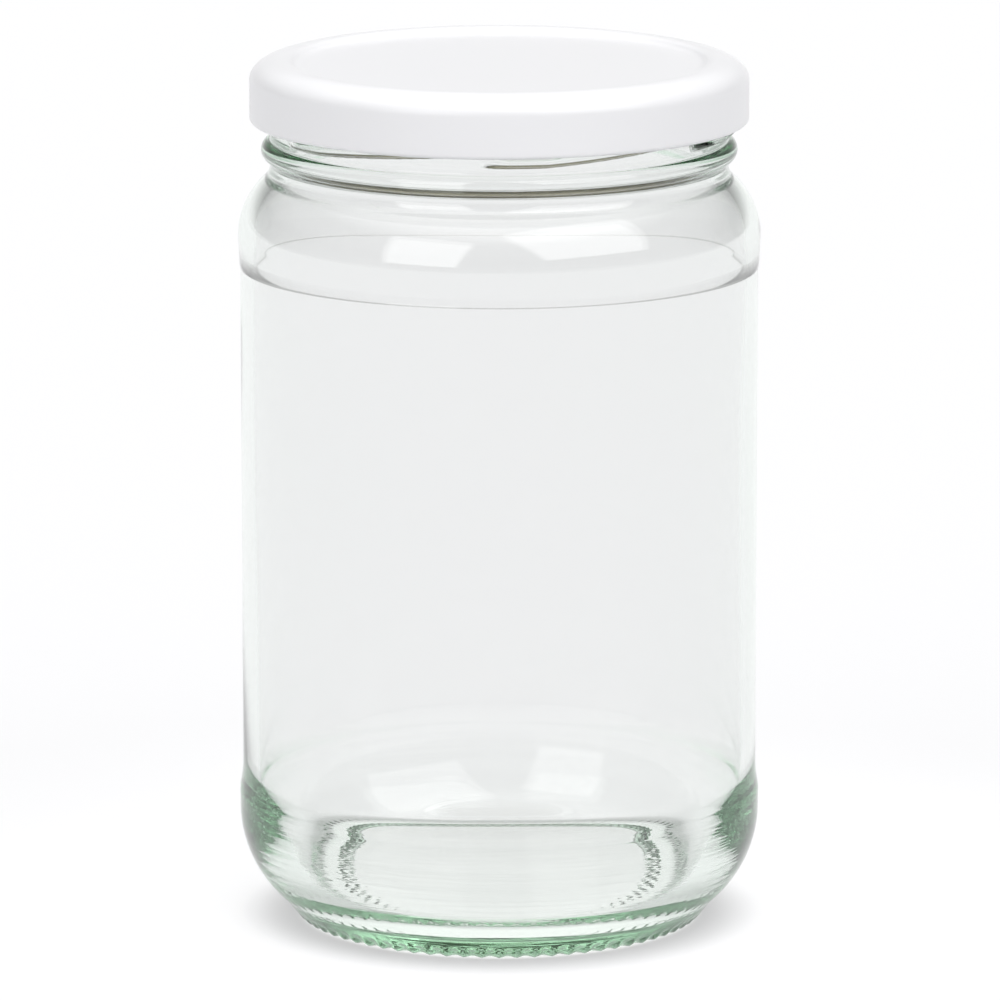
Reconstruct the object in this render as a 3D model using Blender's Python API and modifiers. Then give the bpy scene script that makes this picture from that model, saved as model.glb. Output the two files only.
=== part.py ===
# A round preserving jar of about 720 ml with its white screw lid, which has six lugs.
# Its pieces are the glass jar, the tinplate lid shell and the sealing ring cast into the lid's rim.
# Metres, +Z up. The origin is the point where the jar's axis meets the surface that it stands on.

import math

import bmesh
import bpy

mm = 0.001
full_turn = 2 * math.pi

# Glass body
panel_radius = 44.4 * mm        # straight wall that takes the label
shoulder_radius = 44.78 * mm    # band above the label panel, which guards it
heel_radius = 44.92 * mm        # band below the label panel
panel_top = 114.6 * mm
panel_bottom = 27.0 * mm
shoulder_band_bottom = 116.6 * mm
heel_band_top = 22.5 * mm
body_bore = 41.9 * mm           # inside of the body: the wall is 2.5 mm thick at the label panel
floor_height = 5.8 * mm         # flat inside of the base
floor_corner_width = 11.5 * mm  # the floor rises to the wall in a quarter of a tall ellipse
floor_corner_height = 20.0 * mm

# Glass shoulder: one arc outside and one inside about the same height, each turning into the neck
shoulder_centre_height = 119.0 * mm
shoulder_arc = 13.5 * mm
shoulder_sweep = 50             # degrees from the body to the start of the neck's curve
shoulder_arc_inside = 10.7 * mm
shoulder_sweep_inside = 54
neck_turn = 0.9 * mm            # the neck's curve has its corner this far above the end of the arc
neck_turn_inside = 1.1 * mm

# Glass base, from the heel to the flat recess under the floor, as radius and height
heel_arc = 20.0 * mm
heel_centre_height = 19.0 * mm
foot_height = 3.8 * mm          # the heel's arc runs into a straight slope here
foot_edge = (35.3 * mm, 0.6 * mm)
foot_corner = (34.8 * mm, 0.0)
bearing_outer = (34.4 * mm, 0.0)
bearing_inner = (29.8 * mm, 0.0)
rise_corner = (28.9 * mm, 0.0)
rise_middle = (27.9 * mm, 0.8 * mm)
recess_corner = (26.9 * mm, 1.6 * mm)
recess_edge = (25.9 * mm, 1.6 * mm)

# Glass finish: neck, transfer bead, threads and lip
neck_radius = 39.25 * mm
neck_height = 131.2 * mm
bead_height = 134.0 * mm
bead_radius = 40.75 * mm
bead_half_height = 1.8 * mm
bead_sweep = 78                 # degrees of the bead's section either side of its widest line
root_radius = 39.0 * mm         # wall between the threads
mouth_radius = 36.2 * mm
lip_height = 147.6 * mm
lip_round = 1.3 * mm

# Threads: six right-hand leads, each a rounded ridge that starts level and then climbs
leads = 6
thread_start = math.radians(-95)    # azimuth of one ridge's lower end
thread_level = math.radians(17)
lead_height = 16.8 * mm         # rise of one whole turn
thread_half = 0.65 * mm         # half of a ridge's height
thread_crest = 40.4 * mm
thread_low = 137.65 * mm        # middle of a ridge at its lower end
thread_span = math.radians(112)
thread_stations = 16
thread_rises_over = 1 / 16      # share of a ridge in which its lower end comes out of the wall
thread_fades_over = 1 / 6       # share in which its upper end goes back into it
thread_sink = 0.85 * mm         # a ridge's ends lie this far inside the wall

# Lid shell
lid_radius = 42.7 * mm
lid_bottom = 138.9 * mm
crown_height = 149.5 * mm
sheet = 0.25 * mm               # lacquered tinplate
corner_width = 5.5 * mm         # the crown falls to the skirt in a quarter of an ellipse
corner_height = 3.5 * mm
crown_radius = 37.2 * mm        # highest line of the crown
panel_step = 1.0 * mm           # the lid's panel lies this far below its crown
lid_panel_radius = 33.4 * mm
step_corner = 0.6 * mm          # the step's two bends have their corners this far off its middle
curl_round = 0.75 * mm          # the skirt's edge is rolled inwards to this radius
curl_sweep = 240                # degrees from the skirt's outside round to the roll's end
curl_join = 1.2 * mm            # above the roll's middle, where the skirt's inside runs clear of it

# Lugs: stretches of the curl pressed inwards under the threads
lug_to_thread = 3.1 * mm        # over a lug, a ridge's middle stands this far above its lower end
lug_azimuth = thread_start + thread_level + lug_to_thread / lead_height * full_turn
lug_reach = 1.7 * mm
lug_flat = math.radians(5)      # half of the fully pressed stretch
lug_ramp = math.radians(6)
lug_mid_height = 139.4 * mm
lug_zone = 2.0 * mm             # above this distance over a lug's middle the skirt stays round
lug_squeeze = 0.5               # pressing takes this share off the curl's height

# Sealing ring
clearance = 0.3 * mm            # left between pieces that touch on the real jar
seal_skin = 0.61 * mm           # from the crown's outside to the compound: the sheet and a clearance
seal_sweep = 28                 # degrees of the crown's curve that the compound follows
seal_inner = 36.9 * mm
seal_edge = 0.25 * mm           # bevel of the compound's edges

turned_steps = 60               # sides of each turned piece


def arc(centre, radius_r, radius_z, start, end, steps):
    """Points of an ellipse's arc in the turning plane, from start to end in degrees."""
    points = []
    for i in range(steps + 1):
        angle = math.radians(start + (end - start) * i / steps)
        points.append((centre[0] + radius_r * math.cos(angle), centre[1] + radius_z * math.sin(angle)))
    return points


def bend(start, corner, end, steps):
    """A smooth curve from start to end that leaves and arrives along the two sides of corner."""
    points = []
    for i in range(steps + 1):
        t = i / steps
        weights = ((1 - t) ** 2, 2 * t * (1 - t), t ** 2)
        points.append(tuple(sum(w * p[k] for w, p in zip(weights, (start, corner, end))) for k in (0, 1)))
    return points


def smooth_step(t):
    t = min(max(t, 0.0), 1.0)
    return t * t * (3 - 2 * t)


def glass_inside():
    """From the axis on the floor, up the wall and through the neck to the lip."""
    corner = (body_bore - floor_corner_width, floor_height + floor_corner_height)
    centre = (body_bore - shoulder_arc_inside, shoulder_centre_height)
    shoulder = arc(centre, shoulder_arc_inside, shoulder_arc_inside, 0, shoulder_sweep_inside, 4)
    neck_corner = (mouth_radius, shoulder[-1][1] + neck_turn_inside)
    points = [(0.0, floor_height)]
    points += arc(corner, floor_corner_width, floor_corner_height, -90, 0, 7)
    points += shoulder
    points += bend(shoulder[-1], neck_corner, (mouth_radius, neck_height), 3)[1:]
    return points


def glass_lip():
    """Over the sealing lip, from the bore to the thread wall."""
    lip_z = lip_height - lip_round
    inner = arc((mouth_radius + lip_round, lip_z), lip_round, lip_round, 180, 90, 3)
    outer = arc((root_radius - lip_round, lip_z), lip_round, lip_round, 90, 0, 3)
    return inner + outer


def glass_finish():
    """Down the thread wall, round the transfer bead and into the neck."""
    bulge = (bead_radius - neck_radius) / (1 - math.cos(math.radians(bead_sweep)))
    centre = (bead_radius - bulge, bead_height)
    points = arc(centre, bulge, bead_half_height, bead_sweep, -bead_sweep, 8)
    return points + [(neck_radius, neck_height)]


def glass_outside():
    """Down the shoulder, the label panel and the heel to the bearing ring, then up under the base."""
    centre = (shoulder_radius - shoulder_arc, shoulder_centre_height)
    shoulder = arc(centre, shoulder_arc, shoulder_arc, shoulder_sweep, 0, 6)
    neck_corner = (neck_radius, shoulder[0][1] + neck_turn)
    heel_sweep = math.degrees(math.asin((heel_centre_height - foot_height) / heel_arc))
    points = bend((neck_radius, neck_height), neck_corner, shoulder[0], 3)[1:]
    points += shoulder[1:]
    points += [(shoulder_radius, shoulder_band_bottom), (panel_radius, panel_top)]
    points += [(panel_radius, panel_bottom), (heel_radius, heel_band_top)]
    points += arc((heel_radius - heel_arc, heel_centre_height), heel_arc, heel_arc, 0, -heel_sweep, 7)
    points += bend(foot_edge, foot_corner, bearing_outer, 2)
    points += bend(bearing_inner, rise_corner, rise_middle, 2)
    points += bend(rise_middle, recess_corner, recess_edge, 2)[1:]
    points += [(0.0, recess_edge[1])]
    return points


def lid_top(offset):
    """The lid's panel and the step up to its crown, sunk by offset from the outside face."""
    panel_height = crown_height - panel_step - offset
    crown = crown_height - offset
    middle = ((lid_panel_radius + crown_radius) / 2, (panel_height + crown) / 2)
    points = [(0.0, panel_height)]
    points += bend((lid_panel_radius, panel_height), (middle[0] - step_corner, panel_height), middle, 3)
    points += bend(middle, (middle[0] + step_corner, crown), (crown_radius, crown), 3)[1:]
    return points


def lid_profile():
    """Once round the sheet: over the top, down the skirt, round the curl and back up the inside."""
    corner = (crown_radius, crown_height - corner_height)
    curl = (lid_radius - curl_round, lid_bottom + curl_round)
    outside = lid_top(0.0)
    outside += arc(corner, corner_width, corner_height, 90, 0, 6)[1:]
    outside += arc(curl, curl_round, curl_round, 0, -curl_sweep, 8)
    inside = lid_top(sheet)
    inside += arc(corner, corner_width - sheet, corner_height - sheet, 90, 0, 5)[1:]
    inside += [(lid_radius - sheet, curl[1] + curl_join)]
    return outside + inside[::-1]


def seal_profile():
    """Once round the compound: under the crown's curve, down, and back along its flat underside."""
    corner = (crown_radius, crown_height - corner_height)
    top = arc(corner, corner_width - seal_skin, corner_height - seal_skin, 90, 90 - seal_sweep, 3)
    outer = top[-1][0]
    bottom = lip_height + clearance
    points = top
    points += [(outer, bottom + seal_edge), (outer - seal_edge, bottom)]
    points += [(seal_inner + seal_edge, bottom), (seal_inner, bottom + seal_edge)]
    points += [(seal_inner, top[0][1] - seal_edge), top[0]]
    return points


def material(name, colour, roughness, metallic=0.0, transmission=0.0):
    made = bpy.data.materials.new(name)
    made.use_nodes = True
    shader = made.node_tree.nodes["Principled BSDF"]
    shader.inputs["Base Color"].default_value = (*colour, 1.0)
    shader.inputs["Roughness"].default_value = roughness
    shader.inputs["Metallic"].default_value = metallic
    shader.inputs["Transmission Weight"].default_value = transmission
    return made


def made_solid(guide, name, collection, weld_distance):
    """The guide's evaluated shape as a mesh object of its own, with its seams welded."""
    collection.objects.link(guide)
    graph = bpy.context.evaluated_depsgraph_get()
    graph.update()
    mesh = bpy.data.meshes.new_from_object(guide.evaluated_get(graph))
    mesh.name = name
    bpy.data.objects.remove(guide)
    edit = bmesh.new()
    edit.from_mesh(mesh)
    bmesh.ops.remove_doubles(edit, verts=edit.verts, dist=weld_distance)
    edit.to_mesh(mesh)
    edit.free()
    made = bpy.data.objects.new(name, mesh)
    collection.objects.link(made)
    return made


def turned(name, profile, collection):
    """A profile in the XZ plane, turned about Z."""
    mesh = bpy.data.meshes.new(name + "_profile")
    mesh.from_pydata([(r, 0.0, z) for r, z in profile], [(i, i + 1) for i in range(len(profile) - 1)], [])
    guide = bpy.data.objects.new(name + "_profile", mesh)
    screw = guide.modifiers.new("turn", "SCREW")
    screw.steps = turned_steps
    screw.render_steps = turned_steps
    screw.use_merge_vertices = True
    screw.merge_threshold = 0.00001
    return made_solid(guide, name, collection, 0.000001)


def thread_path(index):
    """One lead's helix as a tube, with both ends sunk into the wall."""
    low_azimuth = thread_start + index * full_turn / leads
    data = bpy.data.curves.new("thread_path", "CURVE")
    data.dimensions = "3D"
    data.bevel_depth = thread_half
    data.bevel_resolution = 2
    data.use_fill_caps = True
    spline = data.splines.new("POLY")
    spline.points.add(thread_stations)
    for i, point in enumerate(spline.points):
        along = i / thread_stations
        turn = thread_span * along
        rise = lead_height * max(turn - thread_level, 0.0) / full_turn
        out = min(smooth_step(along / thread_rises_over), smooth_step((1 - along) / thread_fades_over))
        radius = root_radius - (1 - out) * thread_sink
        azimuth = low_azimuth + turn
        point.co = (radius * math.cos(azimuth), radius * math.sin(azimuth), thread_low + rise, 1.0)
    return bpy.data.objects.new("thread_path", data)


def thread_ridge(index, collection):
    """One thread: its tube drawn out from the wall to half an ellipse."""
    ridge = made_solid(thread_path(index), "thread_ridge_%d" % index, collection, 0.00001)
    draw_out = (thread_crest - root_radius) / thread_half
    for vertex in ridge.data.vertices:
        radius = math.hypot(vertex.co.x, vertex.co.y)
        stretch = (root_radius + (radius - root_radius) * draw_out) / radius
        vertex.co.x *= stretch
        vertex.co.y *= stretch
    ridge.hide_render = True
    ridge.display_type = "WIRE"
    return ridge


def press_lugs(shell):
    """Press six stretches of the curl inwards, flattened and tilted to follow the threads."""
    pitch = full_turn / leads
    for vertex in shell.data.vertices:
        x, y, z = vertex.co
        radius = math.hypot(x, y)
        inward = (lid_radius - sheet - radius) / (2 * curl_round - sheet)
        if z > lug_mid_height + lug_zone or inward <= 0:
            continue
        azimuth = math.atan2(y, x)
        off = (azimuth - lug_azimuth + pitch / 2) % pitch - pitch / 2
        pressed = inward * (1 - smooth_step((abs(off) - lug_flat) / lug_ramp))
        radius -= pressed * lug_reach
        z = lug_mid_height + (z - lug_mid_height) * (1 - lug_squeeze * pressed)
        z += pressed * off * lead_height / full_turn
        vertex.co = (radius * math.cos(azimuth), radius * math.sin(azimuth), z)


def finish(thing, look):
    thing.data.materials.clear()
    thing.data.materials.append(look)
    thing.data.shade_smooth()
    thing.data.set_sharp_from_angle(angle=math.radians(35))


def main():
    for thing in list(bpy.data.objects):
        bpy.data.objects.remove(thing)
    jar_parts = bpy.data.collections.new("preserving_jar")
    cutters = bpy.data.collections.new("thread_ridges")
    for collection in (jar_parts, cutters):
        bpy.context.scene.collection.children.link(collection)

    glass = turned("glass_jar", glass_inside() + glass_lip() + glass_finish() + glass_outside(), jar_parts)
    for index in range(leads):
        join = glass.modifiers.new("thread", "BOOLEAN")
        join.operation = "UNION"
        join.object = thread_ridge(index, cutters)
    finish(glass, material("glass", (0.80, 0.88, 0.82), 0.03, transmission=0.9))

    lid = turned("lid_shell", lid_profile(), jar_parts)
    press_lugs(lid)
    finish(lid, material("white_lacquer", (0.86, 0.86, 0.87), 0.3))

    seal = turned("sealing_ring", seal_profile(), jar_parts)
    finish(seal, material("sealing_compound", (0.78, 0.76, 0.70), 0.6))


main()
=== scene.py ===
import math

import bmesh
import bpy
import numpy as np
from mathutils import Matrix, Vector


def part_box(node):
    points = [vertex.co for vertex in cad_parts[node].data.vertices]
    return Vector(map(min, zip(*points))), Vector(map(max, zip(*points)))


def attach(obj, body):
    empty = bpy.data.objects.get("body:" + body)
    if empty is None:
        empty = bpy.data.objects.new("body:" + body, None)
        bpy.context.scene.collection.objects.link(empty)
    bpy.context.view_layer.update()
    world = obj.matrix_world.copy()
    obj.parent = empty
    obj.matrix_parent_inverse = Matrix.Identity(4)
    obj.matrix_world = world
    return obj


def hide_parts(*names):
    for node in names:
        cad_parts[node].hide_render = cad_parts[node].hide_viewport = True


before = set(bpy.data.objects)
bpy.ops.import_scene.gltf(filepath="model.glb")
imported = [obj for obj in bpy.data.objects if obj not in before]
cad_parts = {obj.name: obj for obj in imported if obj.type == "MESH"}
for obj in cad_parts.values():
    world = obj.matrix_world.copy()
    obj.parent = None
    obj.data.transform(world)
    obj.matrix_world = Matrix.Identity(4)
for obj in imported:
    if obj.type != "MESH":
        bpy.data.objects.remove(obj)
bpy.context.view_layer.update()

print("Preserving jar: frame loaded")

mm = 0.001
fullTurn = 2 * math.pi
jarLow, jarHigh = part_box("glass_jar")
lidLow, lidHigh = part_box("lid_shell")
sealLow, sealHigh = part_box("sealing_ring")


# Colours and shader nodes

def linearColour(hexColour):
    # An sRGB hex value turned to linear red, green, blue and full alpha
    channels = [int(hexColour[i:i + 2], 16) / 255 for i in (1, 3, 5)]
    return [c / 12.92 if c <= 0.04045 else ((c + 0.055) / 1.055) ** 2.4 for c in channels] + [1.0]


def addNode(tree, kind, settings=None, inputs=None):
    # One node with its settings; an input is either a value or another node's output
    node = tree.nodes.new(kind)
    for name, value in (settings or {}).items():
        setattr(node, name, value)
    for name, value in (inputs or {}).items():
        if isinstance(value, bpy.types.NodeSocket):
            tree.links.new(value, node.inputs[name])
        else:
            node.inputs[name].default_value = value
    return node


def newMaterial(name):
    material = bpy.data.materials.new(name)
    material.use_nodes = True
    material.node_tree.nodes.clear()
    return material, material.node_tree


def setStops(ramp, levels):
    # Grey levels along a colour ramp, with soft changes between them
    for place, level in levels[1:-1]:
        ramp.elements.new(place)
    for stop, (place, level) in zip(ramp.elements, levels):
        stop.position = place
        stop.color = (level, level, level, 1)
    ramp.interpolation = "EASE"


# Lines in the turning plane, as arrays of radius and height

def arcLine(centre, radii, start, end, count):
    # Centre plus radii times cosine and sine of an angle that runs evenly from start to end, in degrees
    angle = np.radians(np.linspace(start, end, count))
    return np.column_stack((centre[0] + radii[0] * np.cos(angle), centre[1] + radii[1] * np.sin(angle)))


def bendLine(start, corner, end, count):
    # Quadratic curve: (1-t)^2 start + 2t(1-t) corner + t^2 end
    t = np.linspace(0, 1, count)[:, None]
    return (1 - t) ** 2 * np.array(start) + 2 * t * (1 - t) * np.array(corner) + t ** 2 * np.array(end)


def straightLine(start, end, count):
    t = np.linspace(0, 1, count)[:, None]
    return (1 - t) * np.array(start) + t * np.array(end)


def stepLine(start, end, count, power):
    # From start to end in height, with the radius following t^power, so that it leaves the start gently
    t = np.linspace(0, 1, count)
    return np.column_stack((start[0] + (end[0] - start[0]) * t ** power, start[1] + (end[1] - start[1]) * t))


def joinLines(lines):
    # Lines one after another, leaving out a point that repeats the one before; also each point's line number
    points = np.concatenate(lines)
    number = np.repeat(np.arange(len(lines)), [len(line) for line in lines])
    keep = np.append(True, np.linalg.norm(np.diff(points, axis=0), axis=1) > 0.002 * mm)
    return points[keep], number[keep]


def smooth(t):
    # 3t^2 - 2t^3 between 0 and 1, level outside
    t = np.clip(t, 0, 1)
    return t * t * (3 - 2 * t)


# Turned surfaces

def turnedPiece(name, radius, height, closed, materials, materialRows=None, rowValues=None):
    # A grid of radius and height, one row per profile point and one column per step round the axis:
    # x = radius cos(azimuth), y = radius sin(azimuth), z = height. Rows on the axis become one point.
    # rowValues gives named attributes with one value per row, for the materials.
    rows, steps = radius.shape
    azimuth = np.arange(steps) / steps * fullTurn
    points = np.stack((radius * np.cos(azimuth), radius * np.sin(azimuth), height), axis=-1).reshape(-1, 3)
    index = np.arange(rows * steps).reshape(rows, steps)
    near = index if closed else index[:-1]
    far = np.roll(index, -1, axis=0) if closed else index[1:]
    faces = np.stack((near, np.roll(near, -1, axis=1), np.roll(far, -1, axis=1), far), axis=-1).reshape(-1, 4)
    a, b, c, d = (points[faces[:, k]] for k in range(4))
    if np.einsum("ij,ij->i", a, np.cross(b, c) + np.cross(c, d)).sum() < 0:
        faces = faces[:, ::-1]
    mesh = bpy.data.meshes.new(name)
    mesh.from_pydata(points.tolist(), [], faces.tolist())
    for material in materials:
        mesh.materials.append(material)
    if materialRows is not None:
        mesh.polygons.foreach_set("material_index", np.repeat(materialRows[:len(near)], steps).astype(np.int32))
    for label, values in (rowValues or {}).items():
        spread = np.repeat(values, steps).astype(np.float32)
        mesh.attributes.new(label, "FLOAT", "POINT").data.foreach_set("value", spread)
    edit = bmesh.new()
    edit.from_mesh(mesh)
    bmesh.ops.remove_doubles(edit, verts=edit.verts, dist=0.0002 * mm)
    edit.to_mesh(mesh)
    edit.free()
    mesh.shade_smooth()
    piece = bpy.data.objects.new(name, mesh)
    bpy.context.scene.collection.objects.link(piece)
    print("  %s: %d faces" % (name, len(mesh.polygons)))
    return piece


# Camera

cameraSetup = {
    "distance": 1500 * mm,
    "elevation": 11.69,          # degrees
    "aim": (0.12 * mm, 0, 72.5 * mm),
    "focalPixels": 8700,
    "pictureWidth": 1000,        # pixels
    "sensorWidth": 36,
}


def makeCamera(setup):
    data = bpy.data.cameras.new("photo_camera")
    data.sensor_width = setup["sensorWidth"]
    data.lens = setup["focalPixels"] / setup["pictureWidth"] * setup["sensorWidth"]
    data.clip_start = 0.05
    data.clip_end = 60
    camera = bpy.data.objects.new("photo_camera", data)
    tilt = math.radians(setup["elevation"])
    aim = setup["aim"]
    camera.location = (aim[0], aim[1] - setup["distance"] * math.cos(tilt),
                       aim[2] + setup["distance"] * math.sin(tilt))
    camera.rotation_euler = (math.pi / 2 - tilt, 0, 0)
    bpy.context.scene.collection.objects.link(camera)
    bpy.context.scene.camera = camera


makeCamera(cameraSetup)
print("Camera placed")


# Studio: a pale table lit from below, its glow painted brighter under the jar and darker in a contact shadow round
# the foot, under a pale sky with two soft boxes in it

studio = {
    "floorRadius": 9.0,          # metres
    "floorColour": "#8A8A8C",
    "floorGap": 0.1 * mm,        # the floor lies this far below the jar's lowest points
    # Glow of the table, with painted light and shadow: millimetres from the jar's axis, and strength. It is painted
    # brighter under the jar, dips to a painted contact shadow round the foot, is raised round the jar to lighten the
    # jar's own shadow and falls to an even glow further out
    "floorGlowPaintedLightAndShadow": [(0, 1.06), (32.5, 1.06), (35.4, 0.48), (47, 0.75), (160, 0.632)],
    # Light from above: sine of the elevation, and strength behind the jar
    "skyLevels": [(0.0, 1.0), (0.09, 0.68), (0.22, 0.38), (0.6, 0.95), (1.0, 6.5)],
    "frontShare": 0.36,          # brightness at the sides and in front against that behind the jar
    "shareFrom": 0.6,            # part of the direction that points backwards, where the share starts to rise
    "shareTo": 0.95,             # and where it is whole
    "softBoxes": [               # azimuth from the camera's side towards the right, all in degrees
        {"azimuth": -36, "elevation": 26, "halfWidth": 19, "halfHeight": 20, "edge": 3, "strength": 2.0},
        {"azimuth": 46, "elevation": 41, "halfWidth": 27, "halfHeight": 24, "edge": 3, "strength": 1.8},
    ],
}


def makeFloor(setup):
    steps = 96
    angle = np.arange(steps) / steps * fullTurn
    across, drop = setup["floorRadius"], -setup["floorGap"]
    ring = np.column_stack((np.cos(angle) * across, np.sin(angle) * across, np.full(steps, drop)))
    mesh = bpy.data.meshes.new("studio_floor")
    mesh.from_pydata(ring.tolist(), [], [list(range(steps))])
    floor = bpy.data.objects.new("studio_floor", mesh)
    bpy.context.scene.collection.objects.link(floor)
    material, tree = newMaterial("lit_opal_acrylic_painted_light_and_shadow")     # matt opal sheet of a table lit from below, with painted light under the jar and a painted contact shadow round its foot
    place = addNode(tree, "ShaderNodeTexCoord").outputs["Object"]
    reach = addNode(tree, "ShaderNodeVectorMath", {"operation": "LENGTH"}, {0: place}).outputs["Value"]
    share = addNode(tree, "ShaderNodeMapRange", inputs={
        "Value": reach, "From Min": 0.0, "From Max": setup["floorGlowPaintedLightAndShadow"][-1][0] * mm}).outputs[0]
    # Painted light and shadow: over the distance from the jar's axis the glow is brighter under the jar, darker in a
    # ring round its foot and raised round the jar to lighten the jar's own shadow
    glowPaintedLightAndShadow = addNode(tree, "ShaderNodeValToRGB", inputs={"Fac": share})
    setStops(glowPaintedLightAndShadow.color_ramp, [(at / setup["floorGlowPaintedLightAndShadow"][-1][0], level) for at, level in setup["floorGlowPaintedLightAndShadow"]])
    shader = addNode(tree, "ShaderNodeBsdfPrincipled", inputs={
        "Base Color": linearColour(setup["floorColour"]), "Roughness": 0.9, "Specular IOR Level": 0.2,
        "Emission Color": (1, 1, 1, 1), "Emission Strength": glowPaintedLightAndShadow.outputs[0]})
    addNode(tree, "ShaderNodeOutputMaterial", inputs={"Surface": shader.outputs[0]})
    mesh.materials.append(material)


def addSoftBox(tree, direction, box):
    # A rectangle in the sky: tangents of the direction's angles off the box's centre, against its half sizes
    turn, rise = math.radians(box["azimuth"]), math.radians(box["elevation"])
    centre = (math.sin(turn) * math.cos(rise), -math.cos(turn) * math.cos(rise), math.sin(rise))
    across = (math.cos(turn), math.sin(turn), 0)
    upwards = (-math.sin(turn) * math.sin(rise), math.cos(turn) * math.sin(rise), math.cos(rise))
    dots = [addNode(tree, "ShaderNodeVectorMath", {"operation": "DOT_PRODUCT"},
                    {0: direction, 1: axis}).outputs["Value"] for axis in (centre, across, upwards)]
    ahead = addNode(tree, "ShaderNodeMath", {"operation": "MAXIMUM"}, {0: dots[0], 1: 0.001}).outputs[0]
    inside = addNode(tree, "ShaderNodeMath", {"operation": "GREATER_THAN"}, {0: dots[0], 1: 0.0}).outputs[0]
    for dot, half in ((dots[1], box["halfWidth"]), (dots[2], box["halfHeight"])):
        slope = addNode(tree, "ShaderNodeMath", {"operation": "DIVIDE"}, {0: dot, 1: ahead}).outputs[0]
        off = addNode(tree, "ShaderNodeMath", {"operation": "ABSOLUTE"}, {0: slope}).outputs[0]
        near = addNode(tree, "ShaderNodeMapRange", {"interpolation_type": "SMOOTHSTEP"}, {
            "Value": off, "From Min": math.tan(math.radians(half - box["edge"])),
            "From Max": math.tan(math.radians(half)), "To Min": 1.0, "To Max": 0.0}).outputs[0]
        inside = addNode(tree, "ShaderNodeMath", {"operation": "MULTIPLY"}, {0: inside, 1: near}).outputs[0]
    return addNode(tree, "ShaderNodeMath", {"operation": "MULTIPLY"}, {0: inside, 1: box["strength"]}).outputs[0]


def makeSky(setup):
    world = bpy.data.worlds.new("studio_sky")
    bpy.context.scene.world = world
    world.use_nodes = True
    tree = world.node_tree
    tree.nodes.clear()
    direction = addNode(tree, "ShaderNodeTexCoord").outputs["Generated"]
    parts = addNode(tree, "ShaderNodeSeparateXYZ", inputs={0: direction}).outputs
    ramp = addNode(tree, "ShaderNodeValToRGB", inputs={"Fac": parts["Z"]})
    setStops(ramp.color_ramp, setup["skyLevels"])
    share = addNode(tree, "ShaderNodeMapRange", {"interpolation_type": "SMOOTHSTEP"}, {
        "Value": parts["Y"], "From Min": setup["shareFrom"], "From Max": setup["shareTo"],
        "To Min": setup["frontShare"], "To Max": 1.0}).outputs[0]
    light = addNode(tree, "ShaderNodeMath", {"operation": "MULTIPLY"}, {0: ramp.outputs[0], 1: share}).outputs[0]
    for box in setup["softBoxes"]:
        light = addNode(tree, "ShaderNodeMath", {"operation": "ADD"},
                        {0: light, 1: addSoftBox(tree, direction, box)}).outputs[0]
    background = addNode(tree, "ShaderNodeBackground", inputs={"Color": (1, 1, 1, 1), "Strength": light})
    addNode(tree, "ShaderNodeOutputWorld", inputs={"Surface": background.outputs[0]})


makeFloor(studio)
makeSky(studio)
view = bpy.context.scene.view_settings
view.view_transform = "Standard"
cycles = bpy.context.scene.cycles
cycles.max_bounces = 32          # light crosses and glances off many glass faces
cycles.transmission_bounces = 32
cycles.glossy_bounces = 16
print("Studio lit")


# Glass jar

glassShape = {
    "steps": 360,                # columns round the axis
    "panelRadius": 44.4 * mm,
    "shoulderRadius": 44.78 * mm,
    "panelTop": 113.7 * mm,
    "panelBottom": 27.0 * mm,
    "shoulderBandBottom": 114.35 * mm,
    "shoulderBandRadius": 44.56 * mm,     # the band above the label panel narrows a little towards its lower edge
    "heelBandTop": 22.5 * mm,
    "bodyBore": 41.9 * mm,
    "floorHeight": 5.8 * mm,
    "floorCornerWidth": 11.5 * mm,    # the floor rises to the wall in a quarter of a tall ellipse
    "floorCornerHeight": 20.0 * mm,
    "shoulderHeight": 119.0 * mm,
    "shoulderArc": 13.5 * mm,
    "shoulderSweep": 50,         # degrees of the shoulder's arc, and of the one inside
    "shoulderArcInside": 10.7 * mm,
    "shoulderSweepInside": 54,
    "neckTurn": 0.9 * mm,        # from the arc's end up to the corner of the bend to the neck
    "neckTurnInside": 1.1 * mm,
    "stepPower": 1.8,            # how gently both steps leave the label panel
    "heelArc": 20.0 * mm,
    "heelHeight": 19.0 * mm,
    "footHeight": 3.8 * mm,
    "footEdge": (35.3 * mm, 0.6 * mm),
    "footCorner": (34.8 * mm, 0),
    "bearingOuter": 34.4 * mm,
    "bearingInner": 29.8 * mm,
    "riseCorner": (28.9 * mm, 0),
    "riseMiddle": (27.9 * mm, 0.8 * mm),
    "recessCorner": (26.9 * mm, 1.6 * mm),
    "recessEdge": (25.9 * mm, 1.6 * mm),
    "neckRadius": 39.25 * mm,
    "neckHeight": 131.2 * mm,
    "beadHeight": 134.0 * mm,
    "beadRadius": 40.75 * mm,
    "beadHalfHeight": 1.8 * mm,
    "beadSweep": 78,             # degrees of the bead's section on either side of its middle
    "rootRadius": 39.0 * mm,
    "finishTop": 143.4 * mm,     # the threads lie between these two heights
    "finishBottom": 136.2 * mm,
    "finishInset": 0.02 * mm,    # of the finish's lower end within the neck
    "mouthRadius": 36.2 * mm,
    "lipRound": 1.3 * mm,
    "knurls": 72,                # bars round both edges of the bearing ring, which keep the hot base off the belt
    "knurlBands": [(27.0, 29.9, 0.45), (33.6, 36.4, 0.45)],      # inner and outer radius and depth in mm
    "knurlEnd": 0.9 * mm,        # over which a bar's ends run out
    "waves": [(3, 0.9, 17, 0.050), (5, 2.1, -23, 0.034), (8, 4.0, 11, 0.016), (2, 5.2, 41, 0.040)],
    "waveFade": 12 * mm,
    "marksTop": 23.5 * mm,       # the mould's turning marks start here and are full below the fade
    "marksFade": 3 * mm,
}

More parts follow.
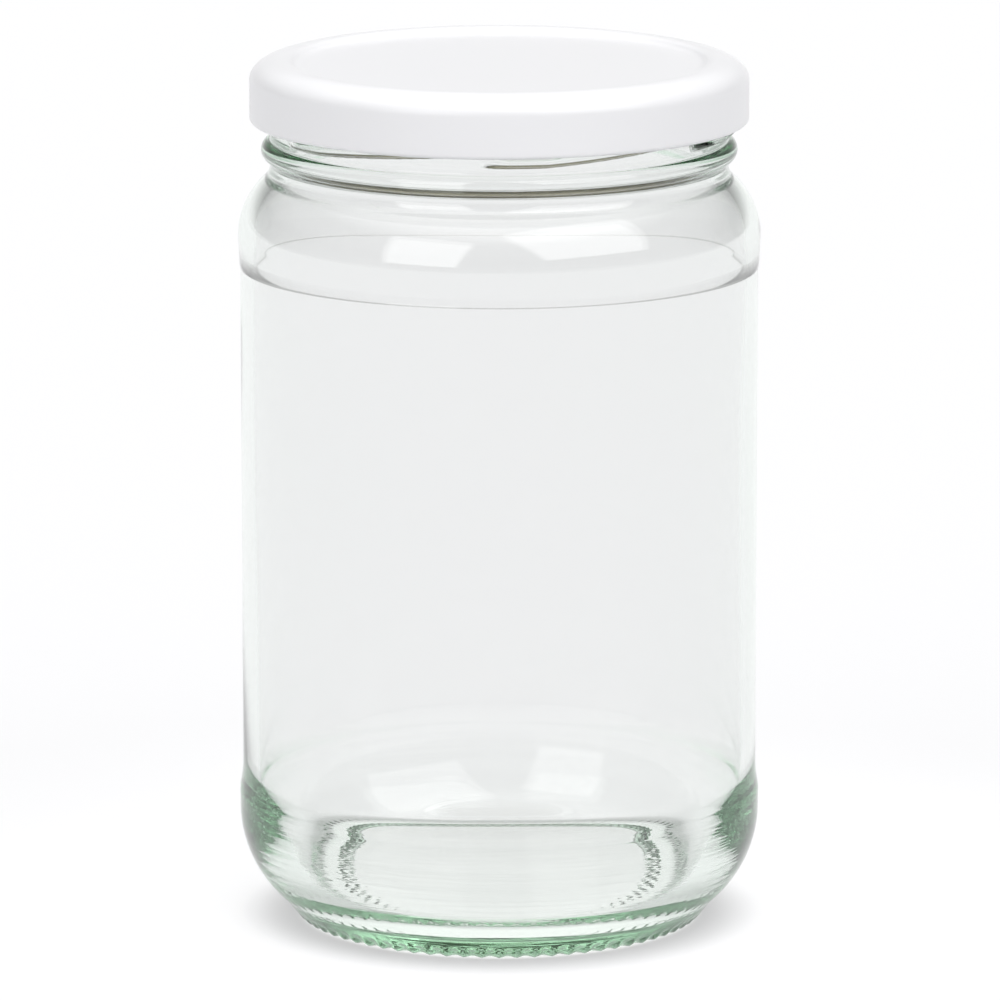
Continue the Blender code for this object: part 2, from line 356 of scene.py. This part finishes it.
# Numbers of the profile's lines, in the order of glassProfile
glassLines = {
    "lastInside": 5,
    "finish": (8, 9),
    "heel": (18, 19, 20),
    "firstBelow": 19,
}

threadShape = {
    "leads": 6,
    "leadHeight": 16.8 * mm,     # rise of one whole turn
    "halfWidth": 0.78 * mm,      # at the wall; the ridge narrows to a rounded crest
    "depth": 1.7 * mm,
    "low": 137.83 * mm,
    "start": -95,                # degrees, the lower end of one lead
    "level": 17,                 # a ridge's first stretch runs level, and then it climbs
    "span": 112,
    "rise": 8,                   # degrees over which the blunt lower end comes out
    "fade": 16,
}


def threadHeight(shape, azimuth, height):
    # Six ridges: each one's middle runs level and then climbs evenly with the angle, and its section is a
    # rounded hump (1 - across^2)^0.75 over its half width
    made = np.zeros(np.broadcast(azimuth, height).shape)
    for lead in range(shape["leads"]):
        start = math.radians(shape["start"]) + lead * fullTurn / shape["leads"]
        turn = (azimuth - start) % fullTurn
        climb = np.maximum(turn - math.radians(shape["level"]), 0)
        middle = shape["low"] + shape["leadHeight"] * climb / fullTurn
        across = (height - middle) / shape["halfWidth"]
        hump = np.clip(1 - across ** 2, 0, 1) ** 0.75
        ends = smooth(turn / math.radians(shape["rise"])) * smooth(
            (math.radians(shape["span"]) - turn) / math.radians(shape["fade"]))
        made = np.maximum(made, hump * ends * shape["depth"])
    return made


def knurlHeight(shape, azimuth, radius):
    # How far the hollows between the bars rise: half a cosine wave per bar, run out at both ends
    wave = 0.5 - 0.5 * np.cos(azimuth * shape["knurls"])
    return wave * sum(depth * mm * smooth((radius - low * mm) / shape["knurlEnd"])
                      * smooth((high * mm - radius) / shape["knurlEnd"]) for low, high, depth in shape["knurlBands"])


def insideWaves(shape, azimuth, height):
    # The blown inside is a little uneven: a few sine waves, each with its number round the jar, its phase,
    # millimetres of height per radian and millimetres of depth
    made = np.zeros(np.broadcast(azimuth, height).shape)
    for around, phase, rise, depth in shape["waves"]:
        made += depth * mm * np.sin(around * azimuth + phase + height / (rise * mm))
    low, high = shape["floorHeight"] + shape["floorCornerHeight"], shape["shoulderHeight"]
    fade = shape["waveFade"]
    return made * smooth((height - low) / fade + 0.5) * smooth((high - height) / fade + 0.5)


def glassProfile(shape):
    # Once round the glass in the turning plane, from the inside of the floor over the lip to the hollow below
    lipHeight, heelRadius = jarHigh.z, jarHigh.x
    g = shape
    insideArc = (g["bodyBore"] - g["shoulderArcInside"], g["shoulderHeight"])
    insideTop = arcLine(insideArc, (g["shoulderArcInside"],) * 2, 0, g["shoulderSweepInside"], 16)
    lipZ = lipHeight - g["lipRound"]
    sweep = g["beadSweep"]
    bulge = (g["beadRadius"] - g["neckRadius"]) / (1 - math.cos(math.radians(sweep)))
    bead = arcLine((g["beadRadius"] - bulge, g["beadHeight"]), (bulge, g["beadHalfHeight"]), sweep, -sweep, 17)
    outsideArc = arcLine((g["shoulderRadius"] - g["shoulderArc"], g["shoulderHeight"]),
                         (g["shoulderArc"],) * 2, g["shoulderSweep"], 0, 16)
    neckLow, neckLowInside = outsideArc[0][1] + g["neckTurn"], insideTop[-1][1] + g["neckTurnInside"]
    bandLow = (g["shoulderBandRadius"], g["shoulderBandBottom"])
    heelSweep = math.degrees(math.asin((g["heelHeight"] - g["footHeight"]) / g["heelArc"]))
    heel = arcLine((heelRadius - g["heelArc"], g["heelHeight"]), (g["heelArc"],) * 2, 0, -heelSweep, 40)
    return joinLines([
        straightLine((0, g["floorHeight"]), (g["bodyBore"] - g["floorCornerWidth"], g["floorHeight"]), 10),
        arcLine((g["bodyBore"] - g["floorCornerWidth"], g["floorHeight"] + g["floorCornerHeight"]),
                (g["floorCornerWidth"], g["floorCornerHeight"]), -90, 0, 25),
        straightLine((g["bodyBore"], g["floorHeight"] + g["floorCornerHeight"]), insideTop[0], 18),
        insideTop,
        bendLine(insideTop[-1], (g["mouthRadius"], neckLowInside), (g["mouthRadius"], g["neckHeight"]), 9),
        straightLine((g["mouthRadius"], g["neckHeight"]), (g["mouthRadius"], lipZ), 6),
        arcLine((g["mouthRadius"] + g["lipRound"], lipZ), (g["lipRound"],) * 2, 180, 90, 7),
        arcLine((g["rootRadius"] - g["lipRound"], lipZ), (g["lipRound"],) * 2, 90, 0, 7),
        straightLine((g["rootRadius"], lipZ), (g["rootRadius"], g["finishTop"]), 3),
        straightLine((g["rootRadius"], g["finishTop"]), (g["neckRadius"] - g["finishInset"], g["finishBottom"]), 42),
        bead,
        straightLine(bead[-1], (g["neckRadius"], g["neckHeight"]), 2),
        bendLine((g["neckRadius"], g["neckHeight"]), (g["neckRadius"], neckLow), outsideArc[0], 7),
        outsideArc,
        straightLine(outsideArc[-1], bandLow, 3),
        stepLine((g["panelRadius"], g["panelTop"]), bandLow, 8, g["stepPower"])[::-1],
        straightLine((g["panelRadius"], g["panelTop"]), (g["panelRadius"], g["panelBottom"]), 10),
        stepLine((g["panelRadius"], g["panelBottom"]), (heelRadius, g["heelBandTop"]), 10, g["stepPower"]),
        straightLine((heelRadius, g["heelBandTop"]), heel[0], 4),
        heel,
        straightLine(heel[-1], g["footEdge"], 6),
        bendLine(g["footEdge"], g["footCorner"], (g["bearingOuter"], 0), 5),
        straightLine((g["bearingOuter"], 0), (g["bearingInner"], 0), 11),
        bendLine((g["bearingInner"], 0), g["riseCorner"], g["riseMiddle"], 7),
        bendLine(g["riseMiddle"], g["recessCorner"], g["recessEdge"], 6),
        straightLine(g["recessEdge"], (0, g["recessEdge"][1]), 8),
    ])


def makeGlassMaterial():
    material, tree = newMaterial("blown_soda_lime_glass")
    # Soda-lime container glass, polished as it was blown: clear, with a green cast that only shows in depth.
    # The heel has the mould's fine turning marks, level rings that catch thin streaks of light.
    place = addNode(tree, "ShaderNodeTexCoord").outputs["Object"]
    rings = addNode(tree, "ShaderNodeMapping", inputs={"Vector": place, "Scale": (16.0, 16.0, 620.0)}).outputs[0]
    marks = addNode(tree, "ShaderNodeTexNoise", inputs={
        "Vector": rings, "Scale": 1.0, "Detail": 3.0, "Roughness": 0.6}).outputs[0]
    heel = addNode(tree, "ShaderNodeAttribute", {"attribute_name": "heelMarks"}).outputs["Fac"]
    relief = addNode(tree, "ShaderNodeMath", {"operation": "MULTIPLY"}, {0: marks, 1: heel}).outputs[0]
    bump = addNode(tree, "ShaderNodeBump", inputs={
        "Height": relief, "Strength": 1.0, "Distance": 0.055 * mm}).outputs[0]
    shader = addNode(tree, "ShaderNodeBsdfPrincipled", inputs={
        "Base Color": (0.945, 0.934, 0.942, 1), "Roughness": 0.0, "IOR": 1.52, "Transmission Weight": 1.0,
        "Normal": bump})
    depth = addNode(tree, "ShaderNodeVolumeAbsorption", inputs={"Color": linearColour("#3FD37C"), "Density": 10.0})
    addNode(tree, "ShaderNodeOutputMaterial", inputs={"Surface": shader.outputs[0], "Volume": depth.outputs[0]})
    return material


def makeGlass():
    profile, number = glassProfile(glassShape)
    steps = glassShape["steps"]
    azimuth = np.arange(steps)[None, :] / steps * fullTurn
    radius = np.repeat(profile[:, :1], steps, axis=1)
    height = np.repeat(profile[:, 1:], steps, axis=1)
    finish = np.isin(number, glassLines["finish"])
    radius[finish] += threadHeight(threadShape, azimuth, height[finish])
    inside = number <= glassLines["lastInside"]
    radius[inside] += insideWaves(glassShape, azimuth, height[inside])
    below = number >= glassLines["firstBelow"]
    height[below] += knurlHeight(glassShape, azimuth, radius[below])
    heelRows = np.isin(number, glassLines["heel"])
    marks = heelRows * smooth((glassShape["marksTop"] - profile[:, 1]) / glassShape["marksFade"])
    piece = turnedPiece("glass_body", radius, height, False, [makeGlassMaterial()],
                        rowValues={"heelMarks": marks})
    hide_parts("glass_jar")
    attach(piece, "jar")


makeGlass()
print("Glass made")

# Lid

lidShape = {
    "steps": 360,
    "sheet": 0.25 * mm,          # lacquered tinplate
    "panelRadius": 33.4 * mm,
    "panelStep": 1.0 * mm,       # the panel lies this far below the crown
    "stepCorner": 0.6 * mm,
    "crownRadius": 37.2 * mm,
    "cornerWidth": 5.5 * mm,
    "cornerHeight": 3.5 * mm,
    "curlRound": 0.75 * mm,
    "curlSweep": 240,            # degrees
    "curlJoin": 1.2 * mm,
    "lugs": 6,
    "lugAzimuth": -11.57,        # degrees
    "lugReach": 1.7 * mm,
    "lugFlat": 5,
    "lugRamp": 6,
    "lugHeight": 139.4 * mm,
    "lugZone": 2.0 * mm,
    "lugSqueeze": 0.5,
    "outsideLines": 6,           # the profile's first lines, which are the outside
}


def lidTop(shape, sunk):
    # The panel and the step up to the crown, lower by sunk than the outside face
    s = shape
    panel, crown = lidHigh.z - s["panelStep"] - sunk, lidHigh.z - sunk
    middle = ((s["panelRadius"] + s["crownRadius"]) / 2, (panel + crown) / 2)
    return [
        straightLine((0, panel), (s["panelRadius"], panel), 10),
        bendLine((s["panelRadius"], panel), (middle[0] - s["stepCorner"], panel), middle, 12),
        bendLine(middle, (middle[0] + s["stepCorner"], crown), (s["crownRadius"], crown), 12),
    ]


def lidProfile(shape):
    # Once round the sheet: over the top, down the skirt, round the curl and back up the inside
    s = shape
    corner = (s["crownRadius"], lidHigh.z - s["cornerHeight"])
    curl = (lidHigh.x - s["curlRound"], lidLow.z + s["curlRound"])
    inner = (s["cornerWidth"] - s["sheet"], s["cornerHeight"] - s["sheet"])
    outside = lidTop(s, 0) + [
        arcLine(corner, (s["cornerWidth"], s["cornerHeight"]), 90, 0, 22),
        straightLine((lidHigh.x, corner[1]), (lidHigh.x, curl[1]), 10),
        arcLine(curl, (s["curlRound"],) * 2, 0, -s["curlSweep"], 26),
    ]
    inside = lidTop(s, s["sheet"]) + [
        arcLine(corner, inner, 90, 0, 16),
        straightLine((lidHigh.x - s["sheet"], corner[1]), (lidHigh.x - s["sheet"], curl[1] + s["curlJoin"]), 6),
    ]
    return joinLines(outside + [line[::-1] for line in inside[::-1]])


def pressLugs(shape, azimuth, radius, height):
    # Six stretches of the curl go inwards, flatter and tilted with the threads; how far falls off as 3t^2 - 2t^3
    s = shape
    pitch = fullTurn / s["lugs"]
    inward = (lidHigh.x - s["sheet"] - radius) / (2 * s["curlRound"] - s["sheet"])
    inward = np.where(height > s["lugHeight"] + s["lugZone"], 0, np.clip(inward, 0, None))
    off = (azimuth - math.radians(s["lugAzimuth"]) + pitch / 2) % pitch - pitch / 2
    pressed = inward * (1 - smooth((np.abs(off) - math.radians(s["lugFlat"])) / math.radians(s["lugRamp"])))
    squeezed = s["lugHeight"] + (height - s["lugHeight"]) * (1 - s["lugSqueeze"] * pressed)
    tilted = squeezed + pressed * off * threadShape["leadHeight"] / fullTurn
    return radius - pressed * s["lugReach"], tilted


def makeLacquerMaterial():
    material, tree = newMaterial("white_baked_enamel")
    # Roller-coated white polyester enamel on tinplate, baked: an even satin gloss with a trace of orange peel
    place = addNode(tree, "ShaderNodeTexCoord").outputs["Object"]
    peel = addNode(tree, "ShaderNodeTexNoise", inputs={"Vector": place, "Scale": 900.0, "Detail": 2.0}).outputs[0]
    bump = addNode(tree, "ShaderNodeBump", inputs={
        "Height": peel, "Strength": 0.05, "Distance": 0.02 * mm}).outputs[0]
    shader = addNode(tree, "ShaderNodeBsdfPrincipled", inputs={
        "Base Color": linearColour("#E2E2E4"), "Roughness": 0.36, "Specular IOR Level": 0.4,
        "Coat Weight": 0.25, "Coat Roughness": 0.15,
        "Normal": bump})
    addNode(tree, "ShaderNodeOutputMaterial", inputs={"Surface": shader.outputs[0]})
    return material


def makeGoldLacquerMaterial():
    material, tree = newMaterial("gold_epoxy_lacquer")
    # Clear yellow epoxy-phenolic lacquer on bright tinplate, as inside food lids: the film's thickness shows as
    # faint clouds of gold and of gloss, and the tin's rolling grain as hair lines that all run one way
    place = addNode(tree, "ShaderNodeTexCoord").outputs["Object"]
    film = addNode(tree, "ShaderNodeTexNoise", inputs={"Vector": place, "Scale": 140.0, "Detail": 3.0}).outputs[0]
    tone = addNode(tree, "ShaderNodeValToRGB", inputs={"Fac": film})
    for stop, at, colour in zip(tone.color_ramp.elements, (0.35, 0.65), ("#98906F", "#ACA689")):
        stop.position, stop.color = at, linearColour(colour)
    gloss = addNode(tree, "ShaderNodeMapRange", inputs={"Value": film, "To Min": 0.42, "To Max": 0.26}).outputs[0]
    along = addNode(tree, "ShaderNodeMapping", inputs={"Vector": place, "Scale": (120.0, 5200.0, 5200.0)}).outputs[0]
    grain = addNode(tree, "ShaderNodeTexNoise", inputs={"Vector": along, "Scale": 1.0, "Detail": 2.0}).outputs[0]
    bump = addNode(tree, "ShaderNodeBump", inputs={
        "Height": grain, "Strength": 0.4, "Distance": 0.01 * mm}).outputs[0]
    shader = addNode(tree, "ShaderNodeBsdfPrincipled", inputs={
        "Base Color": tone.outputs[0], "Metallic": 0.6, "Roughness": gloss, "Normal": bump})
    addNode(tree, "ShaderNodeOutputMaterial", inputs={"Surface": shader.outputs[0]})
    return material


def makeLid():
    profile, number = lidProfile(lidShape)
    steps = lidShape["steps"]
    azimuth = np.arange(steps)[None, :] / steps * fullTurn
    radius = np.repeat(profile[:, :1], steps, axis=1)
    height = np.repeat(profile[:, 1:], steps, axis=1)
    radius, height = pressLugs(lidShape, azimuth, radius, height)
    goldRows = (number >= lidShape["outsideLines"]).astype(int)
    piece = turnedPiece("lid_body", radius, height, False,
                        [makeLacquerMaterial(), makeGoldLacquerMaterial()], goldRows)
    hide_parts("lid_shell")
    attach(piece, "lid")


makeLid()
print("Lid made")


# Sealing ring

sealShape = {
    "steps": 240,
    "inner": 36.9 * mm,
    "edge": 0.25 * mm,
    "skin": 0.61 * mm,           # from the crown's outside to the compound
    "sweep": 28,                 # degrees of the crown's curve that the compound follows
}


def makeSealMaterial():
    material, tree = newMaterial("cast_sealing_compound")
    # Plastisol flowed into the lid's rim and cured: matt, off-white and soft, with the slight unevenness of a
    # cast skin and fine specks of its filler
    place = addNode(tree, "ShaderNodeTexCoord").outputs["Object"]
    skin = addNode(tree, "ShaderNodeTexNoise", inputs={"Vector": place, "Scale": 420.0, "Detail": 2.0}).outputs[0]
    specks = addNode(tree, "ShaderNodeTexNoise", inputs={"Vector": place, "Scale": 5000.0}).outputs[0]
    tone = addNode(tree, "ShaderNodeValToRGB", inputs={"Fac": specks})
    for stop, at, colour in zip(tone.color_ramp.elements, (0.30, 0.52), ("#CBC5B2", "#DDD8C8")):
        stop.position, stop.color = at, linearColour(colour)
    bump = addNode(tree, "ShaderNodeBump", inputs={
        "Height": skin, "Strength": 0.6, "Distance": 0.05 * mm}).outputs[0]
    shader = addNode(tree, "ShaderNodeBsdfPrincipled", inputs={
        "Base Color": tone.outputs[0], "Roughness": 0.55, "Subsurface Weight": 0.1, "Normal": bump})
    addNode(tree, "ShaderNodeOutputMaterial", inputs={"Surface": shader.outputs[0]})
    return material


def makeSeal():
    s = sealShape
    corner = (lidShape["crownRadius"], lidHigh.z - lidShape["cornerHeight"])
    radii = (lidShape["cornerWidth"] - s["skin"], lidShape["cornerHeight"] - s["skin"])
    top = arcLine(corner, radii, 90, 90 - s["sweep"], 10)
    outer, bottom, edge = top[-1][0], sealLow.z, s["edge"]
    profile, number = joinLines([
        top,
        bendLine((outer, bottom + edge), (outer, bottom), (outer - edge, bottom), 5),
        bendLine((s["inner"] + edge, bottom), (s["inner"], bottom), (s["inner"], bottom + edge), 5),
        straightLine((s["inner"], top[0][1] - edge), top[0], 3),
    ])
    radius = np.repeat(profile[:, :1], s["steps"], axis=1)
    height = np.repeat(profile[:, 1:], s["steps"], axis=1)
    piece = turnedPiece("seal_body", radius, height, True, [makeSealMaterial()])
    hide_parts("sealing_ring")
    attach(piece, "seal")


makeSeal()
print("Sealing ring made")
